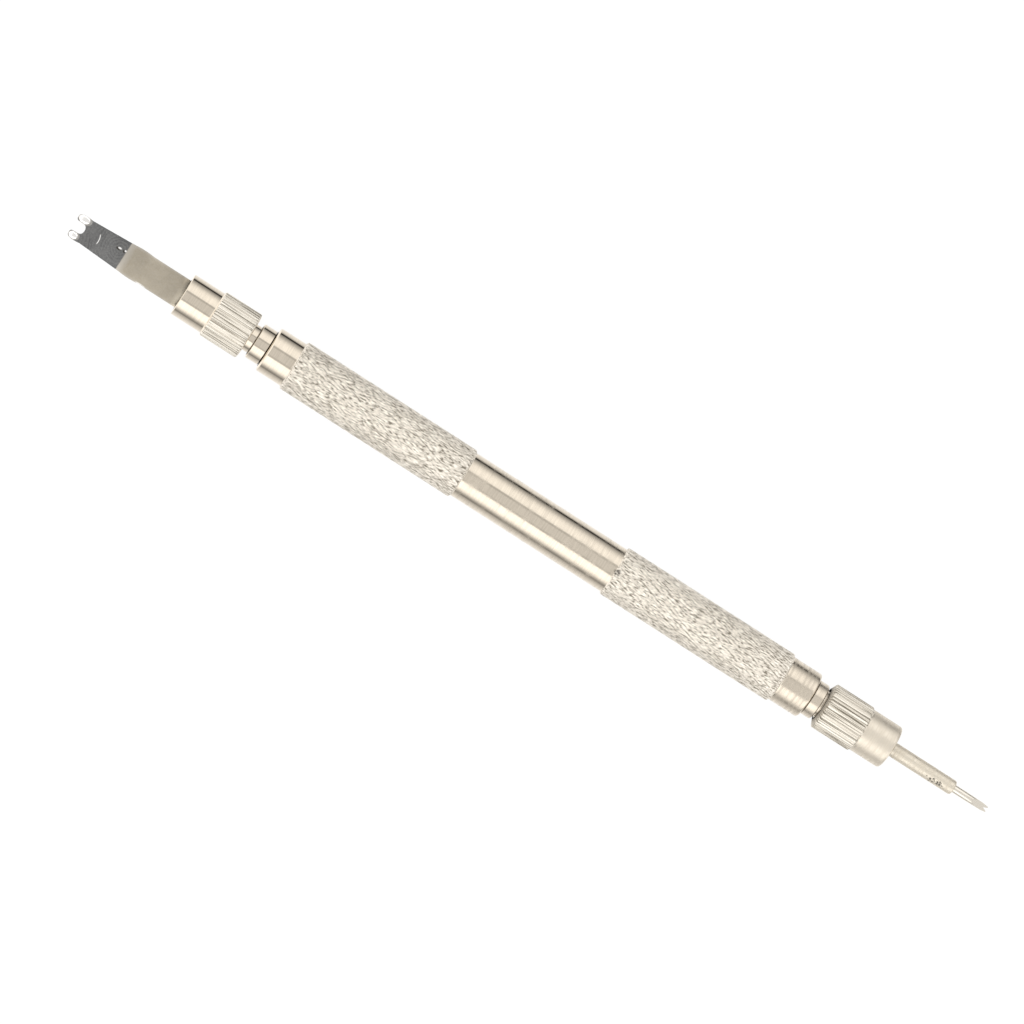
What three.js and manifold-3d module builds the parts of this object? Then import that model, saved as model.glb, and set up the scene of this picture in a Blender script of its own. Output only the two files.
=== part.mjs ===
// A double-ended spring bar tool: a turned and knurled handle with a small collet chuck at
// each end. One chuck holds a flat forked blade, the other a thin pin with a notched end.
// Millimetres. The tool lies along X with the fork at -X, and +Z is up. The origin is on the
// axis, halfway between the two tips.
import * as THREE from 'three';
import { mergeVertices } from 'three/addons/utils/BufferGeometryUtils.js';
import Module from 'manifold-3d';

const wasm = await Module();
wasm.setup();

// Lengths along the tool, from the fork's tip to the pin's tip.
const BLADE_REACH = 16.55;
const FORK_NUT_FERRULE = 4.45;
const FORK_NUT_KNURL = 5.65;
const FORK_THREAD_SHOWN = 0.85;
const FORK_COLLAR = 2.0;
const FORK_RING = 4.0;
const FORK_GRIP = 25.8;
const WAIST = 23.2;
const PIN_GRIP = 25.5;
const PIN_RING = 4.55;
const PIN_COLLAR = 1.55;
const PIN_THREAD_SHOWN = 0.35;
const PIN_NUT_KNURL = 6.15;
const PIN_NUT_FERRULE = 4.5;
const ROD_REACH = 9.8;
const PIN_REACH = 5.1;

// Diameters of the turned pieces, measured across their flats.
const GRIP_DIAMETER = 7.0;
const WAIST_DIAMETER = 6.4;
const FORK_RING_DIAMETER = 6.35;
const PIN_RING_DIAMETER = 6.4;
const COLLAR_DIAMETER = 5.0;
const NUT_KNURL_DIAMETER = 6.5;
const FORK_FERRULE_DIAMETER = 5.95;
const PIN_FERRULE_DIAMETER = 6.05;
const SHANK_DIAMETER = 2.0;
const PIN_DIAMETER = 1.1;

// The chuck thread, which is right-handed at both ends.
const THREAD_DIAMETER = 4.1;
const THREAD_CORE_DIAMETER = 3.6;
const THREAD_PITCH = 0.5;
const THREAD_LENGTH = 5.6;
const THREAD_LINES = 16;

// Fits.
const JOINT_GAP = 0.1;
const BORE_CLEARANCE = 0.07;
const BRAZE_GAP = 0.05;

const ROUND_SIDES = 32;
const NUT_TEETH = 24;
const NUT_LINES_PER_TOOTH = 4;
const NUT_TOOTH_DEPTH = 0.17;

const TOTAL_LENGTH = BLADE_REACH + FORK_NUT_FERRULE + FORK_NUT_KNURL + FORK_THREAD_SHOWN
  + FORK_COLLAR + FORK_RING + FORK_GRIP + WAIST + PIN_GRIP + PIN_RING + PIN_COLLAR
  + PIN_THREAD_SHOWN + PIN_NUT_KNURL + PIN_NUT_FERRULE + ROD_REACH + PIN_REACH;
const HANDLE_LENGTH = FORK_RING + FORK_GRIP + WAIST + PIN_GRIP + PIN_RING;
const FORK_FACE = -TOTAL_LENGTH / 2 + BLADE_REACH + FORK_NUT_FERRULE + FORK_NUT_KNURL
  + FORK_THREAD_SHOWN + FORK_COLLAR;
const PIN_FACE = FORK_FACE + HANDLE_LENGTH;

// Each end of the tool. Distances "out" are measured outwards from the handle's end face,
// and the mouth is the front face of the threaded stud, where the collet goes in.
const FORK_END = {
  face: FORK_FACE,
  side: -1,
  collar: FORK_COLLAR,
  mouth: FORK_COLLAR + THREAD_LENGTH,
  nutRear: FORK_COLLAR + FORK_THREAD_SHOWN,
  knurl: FORK_NUT_KNURL,
  ferrule: FORK_NUT_FERRULE,
  ferruleRadius: FORK_FERRULE_DIAMETER / 2,
};
const PIN_END = {
  face: PIN_FACE,
  side: 1,
  collar: PIN_COLLAR,
  mouth: PIN_COLLAR + THREAD_LENGTH,
  nutRear: PIN_COLLAR + PIN_THREAD_SHOWN,
  knurl: PIN_NUT_KNURL,
  ferrule: PIN_NUT_FERRULE,
  ferruleRadius: PIN_FERRULE_DIAMETER / 2,
};

// Inside the chucks, both ends are alike when measured from the stud's mouth.
const STUD_TAIL = 7.0;
const STUD_TAIL_RADIUS = 1.8;
const STUD_BORE_RADIUS = 1.42;
const MOUTH_RADIUS = 1.72;
const MOUTH_CONE = 0.42;
const COLLET_TAIL = 5.2;
const COLLET_NOSE = 2.25;
const COLLET_NOSE_RADIUS = 1.3;
const COLLET_HEAD_RADIUS = 1.7;
const COLLET_BORE_RADIUS = SHANK_DIAMETER / 2 + 0.04;
const COLLET_SLIT = 0.3;
const COLLET_SLIT_END = -3.6;
const SEAT_FRONT = 2.65;
const SEAT_LENGTH = 1.1;
const SEAT_FRONT_RADIUS = 1.12;
const SEAT_REAR_RADIUS = 1.9;
const NUT_BORE_RADIUS = THREAD_DIAMETER / 2 + BORE_CLEARANCE;
const SHANK_TAIL = 5.4;

const BLADE_THICKNESS = 0.9;
const BLADE_TIP_THICKNESS = 0.45;
const BLADE_POCKET_DEPTH = 2.2;
const BLADE_POCKET_RADIUS = 2.2;
const TANG_THICKNESS = 0.6;
const TANG_WIDTH = 1.84;
const TANG_LENGTH = 4.8;

const PIN_SEAT_DEPTH = 6.0;

function metal(color, roughness) {
  return new THREE.MeshStandardMaterial({ color, roughness, metalness: 1.0 });
}

// Turns an outline of [along X, radius] points about the X axis. An outline that starts and
// ends on the axis is a bar, and any other closes on itself as a ring. The radii are measured
// to the flats, which face up, down and to both sides.
function revolve(outline, sides = ROUND_SIDES) {
  const outwards = 1 / Math.cos(Math.PI / sides);
  const points = outline.map(([along, radius]) => new THREE.Vector2(radius * outwards, along));
  if (THREE.ShapeUtils.area(points) < 0) {
    points.reverse();
  }
  const isRing = points[0].x > 0;
  if (isRing) {
    points.push(points[0].clone());
  }
  const geometry = new THREE.LatheGeometry(points, sides, Math.PI / sides);
  return geometry.rotateZ(-Math.PI / 2);
}

// The same, for one end of the tool: the outline's lengths are distances outwards.
function revolveAtEnd(end, outline, sides = ROUND_SIDES) {
  return revolve(outline.map(([out, radius]) => [end.face + end.side * out, radius]), sides);
}

function toSolid(geometry) {
  const bare = geometry.clone();
  bare.deleteAttribute('normal');
  bare.deleteAttribute('uv');
  const merged = mergeVertices(bare);
  const corners = merged.index.array;
  const triangles = [];
  for (let i = 0; i < corners.length; i += 3) {
    const [a, b, c] = corners.slice(i, i + 3);
    if (a !== b && b !== c && c !== a) {
      triangles.push(a, b, c);
    }
  }
  return new wasm.Manifold(new wasm.Mesh({
    numProp: 3,
    vertProperties: new Float32Array(merged.attributes.position.array),
    triVerts: new Uint32Array(triangles),
  }));
}

function toGeometry(solid) {
  const { vertProperties, triVerts } = solid.getMesh();
  const geometry = new THREE.BufferGeometry();
  geometry.setAttribute('position', new THREE.BufferAttribute(vertProperties, 3));
  geometry.setIndex(new THREE.BufferAttribute(triVerts, 1));
  geometry.computeVertexNormals();
  return geometry;
}

// A plate: a shape in the XY plane, extruded upwards and centred on Z = 0.
function plate(shape, thickness, curveSegments = 8) {
  const geometry = new THREE.ExtrudeGeometry(shape, { depth: thickness, bevelEnabled: false, curveSegments });
  return geometry.translate(0, 0, -thickness / 2);
}

// A side profile: [along X, height Z] points extruded across the tool and centred on Y = 0.
function sideProfile(points, width) {
  const shape = new THREE.Shape(points.map(([along, height]) => new THREE.Vector2(along, height)));
  const geometry = new THREE.ExtrudeGeometry(shape, { depth: width, bevelEnabled: false });
  return geometry.rotateX(Math.PI / 2).translate(0, width / 2, 0);
}

function box(center, size) {
  return new THREE.BoxGeometry(...size).translate(...center);
}

// The handle is one bar: end ring, knurled grip, waist, knurled grip, end ring. A tapped hole
// in each end takes a stud.
function handleGeometry() {
  const holeDepth = STUD_TAIL + 0.2;
  const holeRadius = STUD_TAIL_RADIUS + BRAZE_GAP;
  const edge = 0.4;
  const ramp = 0.35;
  const forkGripStart = FORK_FACE + FORK_RING;
  const forkGripEnd = forkGripStart + FORK_GRIP;
  const pinGripStart = forkGripEnd + WAIST;
  const pinGripEnd = pinGripStart + PIN_GRIP;
  const grip = GRIP_DIAMETER / 2;
  const waist = WAIST_DIAMETER / 2;
  const forkRing = FORK_RING_DIAMETER / 2;
  const pinRing = PIN_RING_DIAMETER / 2;
  return revolve([
    [FORK_FACE + holeDepth, 0],
    [FORK_FACE + holeDepth, holeRadius],
    [FORK_FACE, holeRadius],
    [FORK_FACE, forkRing - edge],
    [FORK_FACE + edge, forkRing],
    [forkGripStart - ramp, forkRing],
    [forkGripStart, grip],
    [forkGripEnd - ramp, grip],
    [forkGripEnd, waist],
    [pinGripStart, waist],
    [pinGripStart + ramp, grip],
    [pinGripEnd, grip],
    [pinGripEnd + ramp, pinRing],
    [PIN_FACE - edge, pinRing],
    [PIN_FACE, pinRing - edge],
    [PIN_FACE, holeRadius],
    [PIN_FACE - holeDepth, holeRadius],
    [PIN_FACE - holeDepth, 0],
  ]);
}

// A right-handed screw blank round the X axis. Its surface is one V-section strip that climbs
// one pitch in each turn, so a point on the last line of a turn is also the point one pitch
// further on along the first line. Both ends are ramps, for other solids to cover or trim.
function screwBlank(start, length) {
  const core = THREAD_CORE_DIAMETER / 2;
  const crest = THREAD_DIAMETER / 2;
  const section = [[0, core], [0.42, crest], [0.58, crest]];
  const perPitch = section.length;
  const lineLength = Math.ceil(length / THREAD_PITCH) * perPitch;
  const vertices = [start, 0, 0, start + length + THREAD_PITCH, 0, 0];
  const indexOf = [];
  for (let line = 0; line < THREAD_LINES; line += 1) {
    const turn = line / THREAD_LINES;
    const count = line === 0 ? lineLength + perPitch : lineLength;
    indexOf.push([]);
    for (let i = 0; i < count; i += 1) {
      const [fraction, radius] = section[i % perPitch];
      const along = start + (Math.floor(i / perPitch) + fraction + turn) * THREAD_PITCH;
      const angle = 2 * Math.PI * turn;
      indexOf[line].push(vertices.length / 3);
      vertices.push(along, radius * Math.cos(angle), radius * Math.sin(angle));
    }
  }
  indexOf.push(indexOf[0].slice(perPitch));
  const faces = [];
  const last = lineLength - 1;
  for (let line = 0; line < THREAD_LINES; line += 1) {
    const here = indexOf[line];
    const next = indexOf[line + 1];
    for (let i = 0; i < last; i += 1) {
      faces.push(here[i], next[i], next[i + 1], here[i], next[i + 1], here[i + 1]);
    }
    faces.push(0, next[0], here[0], 1, here[last], next[last]);
  }
  for (let i = 0; i < perPitch; i += 1) {
    faces.push(0, indexOf[0][i], indexOf[0][i + 1]);
    faces.push(1, indexOf[0][last + i + 1], indexOf[0][last + i]);
  }
  const geometry = new THREE.BufferGeometry();
  geometry.setAttribute('position', new THREE.Float32BufferAttribute(vertices, 3));
  geometry.setIndex(faces);
  return geometry;
}

// A stud: tail in the handle, collar against its end face, threaded neck for the nut, and a
// bore right through with a cone at its mouth for the collet.
function studGeometry(end) {
  const edge = 0.15;
  const collar = COLLAR_DIAMETER / 2;
  const core = THREAD_CORE_DIAMETER / 2;
  const blankOuts = [end.collar - 0.5, end.mouth + THREAD_PITCH];
  const blankEnds = blankOuts.map((out) => end.face + end.side * out);
  const screw = toSolid(screwBlank(Math.min(...blankEnds) - THREAD_PITCH, blankOuts[1] - blankOuts[0]));
  const envelope = toSolid(revolveAtEnd(end, [
    [end.collar - edge, 0],
    [end.collar - edge, collar - edge],
    [end.mouth - (collar - core), collar],
    [end.mouth, core],
    [end.mouth, 0],
  ]));
  const tailAndCollar = toSolid(revolveAtEnd(end, [
    [-STUD_TAIL, 0],
    [-STUD_TAIL, STUD_TAIL_RADIUS - edge],
    [-STUD_TAIL + edge, STUD_TAIL_RADIUS],
    [JOINT_GAP, STUD_TAIL_RADIUS],
    [JOINT_GAP, collar - edge],
    [JOINT_GAP + edge, collar],
    [end.collar - edge, collar],
    [end.collar, collar - edge],
    [end.collar, 0],
  ]));
  const bore = toSolid(revolveAtEnd(end, [
    [-STUD_TAIL - 1, 0],
    [-STUD_TAIL - 1, STUD_BORE_RADIUS],
    [end.mouth - MOUTH_CONE, STUD_BORE_RADIUS],
    [end.mouth, MOUTH_RADIUS],
    [end.mouth + 1, MOUTH_RADIUS],
    [end.mouth + 1, 0],
  ]));
  return toGeometry(screw.intersect(envelope).add(tailAndCollar).subtract(bore));
}

// A straight knurl: one line of points in each tooth of a turned blank is cut down to the root.
function cutStraightKnurl(blank, rootRadius) {
  const position = blank.attributes.position;
  const lineLength = position.count / (NUT_LINES_PER_TOOTH * NUT_TEETH + 1);
  for (let i = 0; i < position.count; i += 1) {
    const line = Math.floor(i / lineLength);
    const radius = Math.hypot(position.getY(i), position.getZ(i));
    if (line % NUT_LINES_PER_TOOTH === 1 && radius > rootRadius) {
      const scale = rootRadius / radius;
      position.setY(i, position.getY(i) * scale);
      position.setZ(i, position.getZ(i) * scale);
    }
  }
  return blank;
}

// The outside of a nut, from its rear rim over the knurl and along the ferrule to its face.
function forkNutOutline(end) {
  const knurl = NUT_KNURL_DIAMETER / 2;
  const knurlEnd = end.nutRear + end.knurl;
  const face = knurlEnd + end.ferrule;
  const edge = 0.2;
  return [
    [end.nutRear, 0],
    [end.nutRear, knurl - edge],
    [end.nutRear + edge, knurl],
    [knurlEnd - edge, knurl],
    [knurlEnd, end.ferruleRadius],
    [face - edge, end.ferruleRadius],
    [face, end.ferruleRadius - edge],
    [face, 0],
  ];
}

function pinNutOutline(end) {
  const knurl = NUT_KNURL_DIAMETER / 2;
  const knurlEnd = end.nutRear + end.knurl;
  const face = knurlEnd + end.ferrule;
  const rearCone = 0.46;
  const rearRadius = 2.35;
  const edge = 0.2;
  const noseRound = 0.35;
  const outline = [
    [end.nutRear, 0],
    [end.nutRear, rearRadius],
    [end.nutRear + rearCone, knurl],
    [knurlEnd - edge, knurl],
    [knurlEnd, end.ferruleRadius],
  ];
  const arcSteps = 4;
  for (let step = 0; step <= arcSteps; step += 1) {
    const angle = (step / arcSteps) * (Math.PI / 2);
    const out = face - noseRound + noseRound * Math.sin(angle);
    outline.push([out, end.ferruleRadius - noseRound + noseRound * Math.cos(angle)]);
  }
  outline.push([face, 0]);
  return outline;
}

// The inside of a nut, from its rear to its front: thread bore, cone seat for the collet and
// a hole for the shank. The fork's nut also has a round pocket for the back of the blade.
function nutBore(end, frontPocket) {
  const rear = end.nutRear - 1;
  const front = end.nutRear + end.knurl + end.ferrule;
  const seatFront = end.mouth + SEAT_FRONT;
  const outline = [
    [rear, 0],
    [rear, NUT_BORE_RADIUS],
    [seatFront - SEAT_LENGTH, NUT_BORE_RADIUS],
    [seatFront - SEAT_LENGTH, SEAT_REAR_RADIUS],
    [seatFront, SEAT_FRONT_RADIUS],
  ];
  if (frontPocket) {
    outline.push([front - BLADE_POCKET_DEPTH, SEAT_FRONT_RADIUS]);
    outline.push([front - BLADE_POCKET_DEPTH, BLADE_POCKET_RADIUS]);
    outline.push([front + 1, BLADE_POCKET_RADIUS]);
  } else {
    outline.push([front + 1, SEAT_FRONT_RADIUS]);
  }
  outline.push([front + 1, 0]);
  return revolveAtEnd(end, outline);
}

function nutGeometry(end, outline, frontPocket) {
  const blank = revolveAtEnd(end, outline, NUT_LINES_PER_TOOTH * NUT_TEETH);
  const knurled = cutStraightKnurl(blank, NUT_KNURL_DIAMETER / 2 - NUT_TOOTH_DEPTH);
  return toGeometry(toSolid(knurled).subtract(toSolid(nutBore(end, frontPocket))));
}

// A collet: a sleeve with a head that is coned at both sides, slit into four jaws.
function colletGeometry(end) {
  const seatSlope = (SEAT_REAR_RADIUS - SEAT_FRONT_RADIUS) / SEAT_LENGTH;
  const mouthSlope = (MOUTH_RADIUS - STUD_BORE_RADIUS) / MOUTH_CONE;
  const tailRadius = STUD_BORE_RADIUS - BORE_CLEARANCE;
  const headFront = COLLET_NOSE - (COLLET_HEAD_RADIUS - COLLET_NOSE_RADIUS) / seatSlope;
  const headRear = (COLLET_HEAD_RADIUS + BORE_CLEARANCE - MOUTH_RADIUS) / mouthSlope;
  const tailFront = headRear - (COLLET_HEAD_RADIUS - tailRadius) / mouthSlope;
  const sleeve = revolveAtEnd(end, [
    [-COLLET_TAIL, COLLET_BORE_RADIUS],
    [-COLLET_TAIL, tailRadius],
    [tailFront, tailRadius],
    [headRear, COLLET_HEAD_RADIUS],
    [headFront, COLLET_HEAD_RADIUS],
    [COLLET_NOSE, COLLET_NOSE_RADIUS],
    [COLLET_NOSE, COLLET_BORE_RADIUS],
  ].map(([out, radius]) => [end.mouth + out, radius]));
  const slitLength = COLLET_NOSE + 1 - COLLET_SLIT_END;
  const slitMiddle = end.face + end.side * (end.mouth + COLLET_SLIT_END + slitLength / 2);
  const across = 2 * COLLET_HEAD_RADIUS + 1;
  const flatSlit = toSolid(box([slitMiddle, 0, 0], [slitLength, across, COLLET_SLIT]));
  const uprightSlit = toSolid(box([slitMiddle, 0, 0], [slitLength, COLLET_SLIT, across]));
  return toGeometry(toSolid(sleeve).subtract(flatSlit).subtract(uprightSlit));
}

// The blade's outline, seen from above. Along runs from the tip backwards: a notch between
// two rounded tines, slightly flared sides, a step where the grinding ends, and a tang.
function forkBladeGeometry() {
  const tip = -TOTAL_LENGTH / 2;
  const notchHalf = 0.7;
  const notchDepth = 1.65;
  const tineInner = 1.1;
  const tineOuter = 1.3;
  const headHalf = 1.75;
  const headAt = 0.9;
  const waistHalf = 1.675;
  const waistAt = 1.9;
  const grindEnd = 7.6;
  const grindEndHalf = 1.965;
  const bulgeHalf = 2.125;
  const bulgeAt = 9.4;
  const bodyHalf = 2.0;
  const bodyAt = 11.0;
  const shoulder = BLADE_REACH + BLADE_POCKET_DEPTH - 0.2;
  const tangHalf = TANG_WIDTH / 2;
  const tangEnd = shoulder + TANG_LENGTH;

  const shape = new THREE.Shape();
  shape.moveTo(tip + notchDepth, 0);
  shape.quadraticCurveTo(tip + notchDepth, notchHalf, tip + notchDepth - notchHalf, notchHalf);
  shape.lineTo(tip + 0.45, notchHalf);
  shape.quadraticCurveTo(tip, notchHalf, tip, tineInner);
  shape.lineTo(tip, tineOuter);
  shape.quadraticCurveTo(tip + 0.1, headHalf, tip + headAt, headHalf);
  shape.quadraticCurveTo(tip + 1.5, headHalf, tip + waistAt, waistHalf);
  shape.lineTo(tip + grindEnd, grindEndHalf);
  shape.lineTo(tip + bulgeAt - 0.6, bulgeHalf - 0.06);
  shape.quadraticCurveTo(tip + bulgeAt, bulgeHalf + 0.03, tip + bulgeAt + 0.7, bulgeHalf - 0.06);
  shape.lineTo(tip + bodyAt, bodyHalf);
  shape.lineTo(tip + shoulder, bodyHalf);
  shape.lineTo(tip + shoulder, tangHalf);
  shape.lineTo(tip + tangEnd, tangHalf);
  const upper = shape.getPoints(6);
  const lower = upper.slice(1).map((point) => new THREE.Vector2(point.x, -point.y)).reverse();
  const outline = plate(new THREE.Shape([...upper, ...lower]), BLADE_THICKNESS + 1);

  const thick = BLADE_THICKNESS / 2;
  const thin = BLADE_TIP_THICKNESS / 2;
  const tang = TANG_THICKNESS / 2;
  const topSide = [
    [tip - 1, thin], [tip, thin], [tip + grindEnd, thick], [tip + shoulder, thick],
    [tip + shoulder, tang], [tip + tangEnd + 1, tang],
  ];
  const bottomSide = topSide.map(([along, height]) => [along, -height]).reverse();
  const thickness = sideProfile([...topSide, ...bottomSide], GRIP_DIAMETER);
  return toGeometry(toSolid(outline).intersect(toSolid(thickness)));
}

// The fork's round shank, with a slot through its front end for the tang.
function forkShankGeometry() {
  const end = FORK_END;
  const front = end.nutRear + end.knurl + end.ferrule - BLADE_POCKET_DEPTH + 0.2 - BRAZE_GAP;
  const rear = end.mouth - SHANK_TAIL;
  const radius = SHANK_DIAMETER / 2;
  const edge = 0.2;
  const bar = revolveAtEnd(end, [
    [rear, 0], [rear, radius - edge], [rear + edge, radius], [front, radius], [front, 0],
  ], 24);
  const slotEnd = front - TANG_LENGTH;
  const slotLength = TANG_LENGTH + 1;
  const slotMiddle = end.face + end.side * (slotEnd + slotLength / 2);
  const slotWidth = TANG_THICKNESS + 2 * BRAZE_GAP;
  const slot = box([slotMiddle, 0, 0], [slotLength, SHANK_DIAMETER + 1, slotWidth]);
  return toGeometry(toSolid(bar).subtract(toSolid(slot)));
}

// The pin end's rod: rounded nose, and a blind hole in its front for the pin.
function pinRodGeometry() {
  const end = PIN_END;
  const nose = TOTAL_LENGTH / 2 - PIN_REACH - PIN_FACE;
  const rear = end.mouth - SHANK_TAIL;
  const radius = SHANK_DIAMETER / 2;
  const hole = PIN_DIAMETER / 2 + BRAZE_GAP;
  const edge = 0.2;
  const noseRound = 0.4;
  const outline = [[rear, 0], [rear, radius - edge], [rear + edge, radius]];
  const arcSteps = 4;
  for (let step = 0; step <= arcSteps; step += 1) {
    const angle = (step / arcSteps) * (Math.PI / 2);
    const out = nose - noseRound + noseRound * Math.sin(angle);
    outline.push([out, Math.max(hole, radius - noseRound + noseRound * Math.cos(angle))]);
  }
  outline.push([nose - PIN_SEAT_DEPTH, hole], [nose - PIN_SEAT_DEPTH, 0]);
  return revolveAtEnd(end, outline, 24);
}

// The pin: slightly tapered towards its end, flattened there and notched to a fine fork.
function fineForkPinGeometry() {
  const tip = TOTAL_LENGTH / 2;
  const foot = tip - PIN_REACH - PIN_SEAT_DEPTH + BRAZE_GAP;
  const radius = PIN_DIAMETER / 2;
  const bar = revolve([
    [foot, 0], [foot, radius - 0.1], [foot + 0.1, radius], [tip - 3.6, radius],
    [tip - 2.0, 0.53], [tip - 0.8, 0.51], [tip, 0.4], [tip, 0],
  ], 16);
  const flatHalf = 0.2;
  const side = [
    [foot - 1, 1], [tip - 2.6, 0.6], [tip - 1.5, flatHalf], [tip + 1, flatHalf],
    [tip + 1, -flatHalf], [tip - 1.5, -flatHalf], [tip - 2.6, -0.6], [foot - 1, -1],
  ];
  const notch = new THREE.Shape([
    new THREE.Vector2(tip - 0.55, 0), new THREE.Vector2(tip + 0.2, -0.34), new THREE.Vector2(tip + 0.2, 0.34),
  ]);
  const flattened = toSolid(bar).intersect(toSolid(sideProfile(side, 4)));
  return toGeometry(flattened.subtract(toSolid(plate(notch, 2))));
}

const nickel = () => metal(0xcfc3ad, 0.3);
const knurledNickel = () => metal(0xb9ae9a, 0.4);

const group = new THREE.Group();

function addPart(name, geometry, material) {
  const mesh = new THREE.Mesh(geometry, material);
  mesh.name = name;
  group.add(mesh);
}

addPart('handle', handleGeometry(), knurledNickel());
addPart('fork_stud', studGeometry(FORK_END), nickel());
addPart('pin_stud', studGeometry(PIN_END), nickel());
addPart('fork_nut', nutGeometry(FORK_END, forkNutOutline(FORK_END), true), nickel());
addPart('pin_nut', nutGeometry(PIN_END, pinNutOutline(PIN_END), false), nickel());
addPart('fork_collet', colletGeometry(FORK_END), metal(0x9a9a98, 0.35));
addPart('pin_collet', colletGeometry(PIN_END), metal(0x9a9a98, 0.35));
addPart('fork_blade', forkBladeGeometry(), metal(0xa79d88, 0.45));
addPart('fork_shank', forkShankGeometry(), metal(0x9a9a98, 0.35));
addPart('pin_rod', pinRodGeometry(), nickel());
addPart('fine_fork_pin', fineForkPinGeometry(), metal(0xa8a39a, 0.3));

export default group;
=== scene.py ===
"""Looks for a double-ended spring bar tool: turned, plated and knurled pieces on the CAD frame.

The tool lies along X, fork at -X and pin at +X. Lengths below are millimetres unless a name says
otherwise; meshes are built in millimetres and scaled to metres as they are made.
"""

import math

import bmesh
import bpy
import numpy as np
from mathutils import Matrix, Vector


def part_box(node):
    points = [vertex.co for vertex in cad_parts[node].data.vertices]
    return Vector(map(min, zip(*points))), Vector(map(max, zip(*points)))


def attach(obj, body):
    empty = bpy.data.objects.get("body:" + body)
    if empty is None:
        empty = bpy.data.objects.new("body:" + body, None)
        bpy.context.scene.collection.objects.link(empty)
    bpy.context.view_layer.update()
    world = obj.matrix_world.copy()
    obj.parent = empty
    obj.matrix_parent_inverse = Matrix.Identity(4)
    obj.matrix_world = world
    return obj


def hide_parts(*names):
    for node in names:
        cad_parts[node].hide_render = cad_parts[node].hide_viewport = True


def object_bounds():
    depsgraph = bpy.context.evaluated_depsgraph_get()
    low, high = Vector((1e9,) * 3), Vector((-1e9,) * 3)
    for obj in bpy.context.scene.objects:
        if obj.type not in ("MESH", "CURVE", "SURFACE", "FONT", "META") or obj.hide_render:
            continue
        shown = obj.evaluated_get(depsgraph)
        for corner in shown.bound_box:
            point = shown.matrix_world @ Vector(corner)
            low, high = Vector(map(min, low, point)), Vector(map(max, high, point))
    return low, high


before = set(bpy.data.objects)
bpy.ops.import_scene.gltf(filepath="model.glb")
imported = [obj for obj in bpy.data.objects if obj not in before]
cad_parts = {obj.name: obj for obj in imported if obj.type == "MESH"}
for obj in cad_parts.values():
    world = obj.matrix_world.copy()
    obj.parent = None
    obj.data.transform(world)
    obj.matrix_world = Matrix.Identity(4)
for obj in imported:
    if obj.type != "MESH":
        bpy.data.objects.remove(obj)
cad_low, cad_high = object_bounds()

MM = 0.001


def span(node):
    """Where a CAD node starts and ends along X, in millimetres."""
    low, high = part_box(node)
    return low.x / MM, high.x / MM


def widest(node):
    """Half a CAD node's size across the tool, in millimetres."""
    low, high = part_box(node)
    return (high.y - low.y) / 2 / MM


# ---------------------------------------------------------------- sizes shared with the CAD

FORK_TIP, PIN_TIP = cad_low.x / MM, cad_high.x / MM
FORK_FACE, PIN_FACE = span("handle")

FORK_RING = 4.0
FORK_GRIP = 25.8
PIN_RING = 4.55
PIN_GRIP = 25.5
FORK_COLLAR = 2.0
PIN_COLLAR = 1.55
THREAD_LENGTH = 5.6
THREAD_PITCH = 0.5

GRIP_RADIUS = widest("handle")
WAIST_RADIUS = 3.2
FORK_RING_RADIUS = 3.175
PIN_RING_RADIUS = 3.2
THREAD_RADIUS = 2.05
THREAD_CORE_RADIUS = 1.8
NUT_BORE_RADIUS = 2.12
SHANK_RADIUS = 1.0
FORK_FERRULE_RADIUS = 2.975
PIN_FERRULE_RADIUS = 3.025
JOINT_RADIUS = 2.58
NUT_POCKET_DEPTH = 2.2
SEAT_RADIUS = 1.12


class End:
    """One end of the tool. Distances out are measured outwards from the handle's end face."""

    def __init__(self, name, face, side, collar, relief, knurl, ferrule_radius):
        self.name = name
        self.face = face
        self.side = side
        self.collar = collar
        self.relief = relief
        self.mouth = collar + THREAD_LENGTH
        self.knurl = knurl
        self.ferrule_radius = ferrule_radius
        nut = sorted(abs(x - face) for x in span(name + "_nut"))
        self.nut_rear, self.nut_front = nut

    def at(self, outline):
        return [(self.face + self.side * out, radius) for out, radius in outline]

    def out(self, x):
        return self.side * (x - self.face)


fork_end = End("fork", FORK_FACE, -1, FORK_COLLAR, 0.85, 5.65, FORK_FERRULE_RADIUS)
pin_end = End("pin", PIN_FACE, 1, PIN_COLLAR, 0.3, 6.15, PIN_FERRULE_RADIUS)

# ---------------------------------------------------------------- mesh helpers


def curve(start, middle, end, steps=8):
    """Points along a quadratic curve, leaving out its start."""
    points = []
    for step in range(1, steps + 1):
        t = step / steps
        points.append(tuple(
            (1 - t) ** 2 * a + 2 * t * (1 - t) * b + t**2 * c for a, b, c in zip(start, middle, end)
        ))
    return points


def soften(outline, radius, steps=4, closed=None):
    """Rounds each corner of an outline, with a point just past each round to hold the shading.

    An outline that starts off the axis is taken as closed, unless the call says otherwise.
    """
    points = [Vector(p) for p in outline]
    if closed is None:
        closed = points[0].y > 0
    hold = 1.35
    count = len(points)
    soft = []
    for i, corner in enumerate(points):
        is_end = not closed and i in (0, count - 1)
        if is_end:
            soft.append(corner)
            continue
        before = points[i - 1] - corner
        after = points[(i + 1) % count] - corner
        reach = min(radius, 0.35 * before.length, 0.35 * after.length)
        start = corner + before.normalized() * reach
        end = corner + after.normalized() * reach
        soft.append(corner + before.normalized() * reach * hold)
        for step in range(steps + 1):
            t = step / steps
            soft.append((1 - t) ** 2 * start + 2 * t * (1 - t) * corner + t**2 * end)
        soft.append(corner + after.normalized() * reach * hold)
    return [tuple(p) for p in soft]


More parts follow.
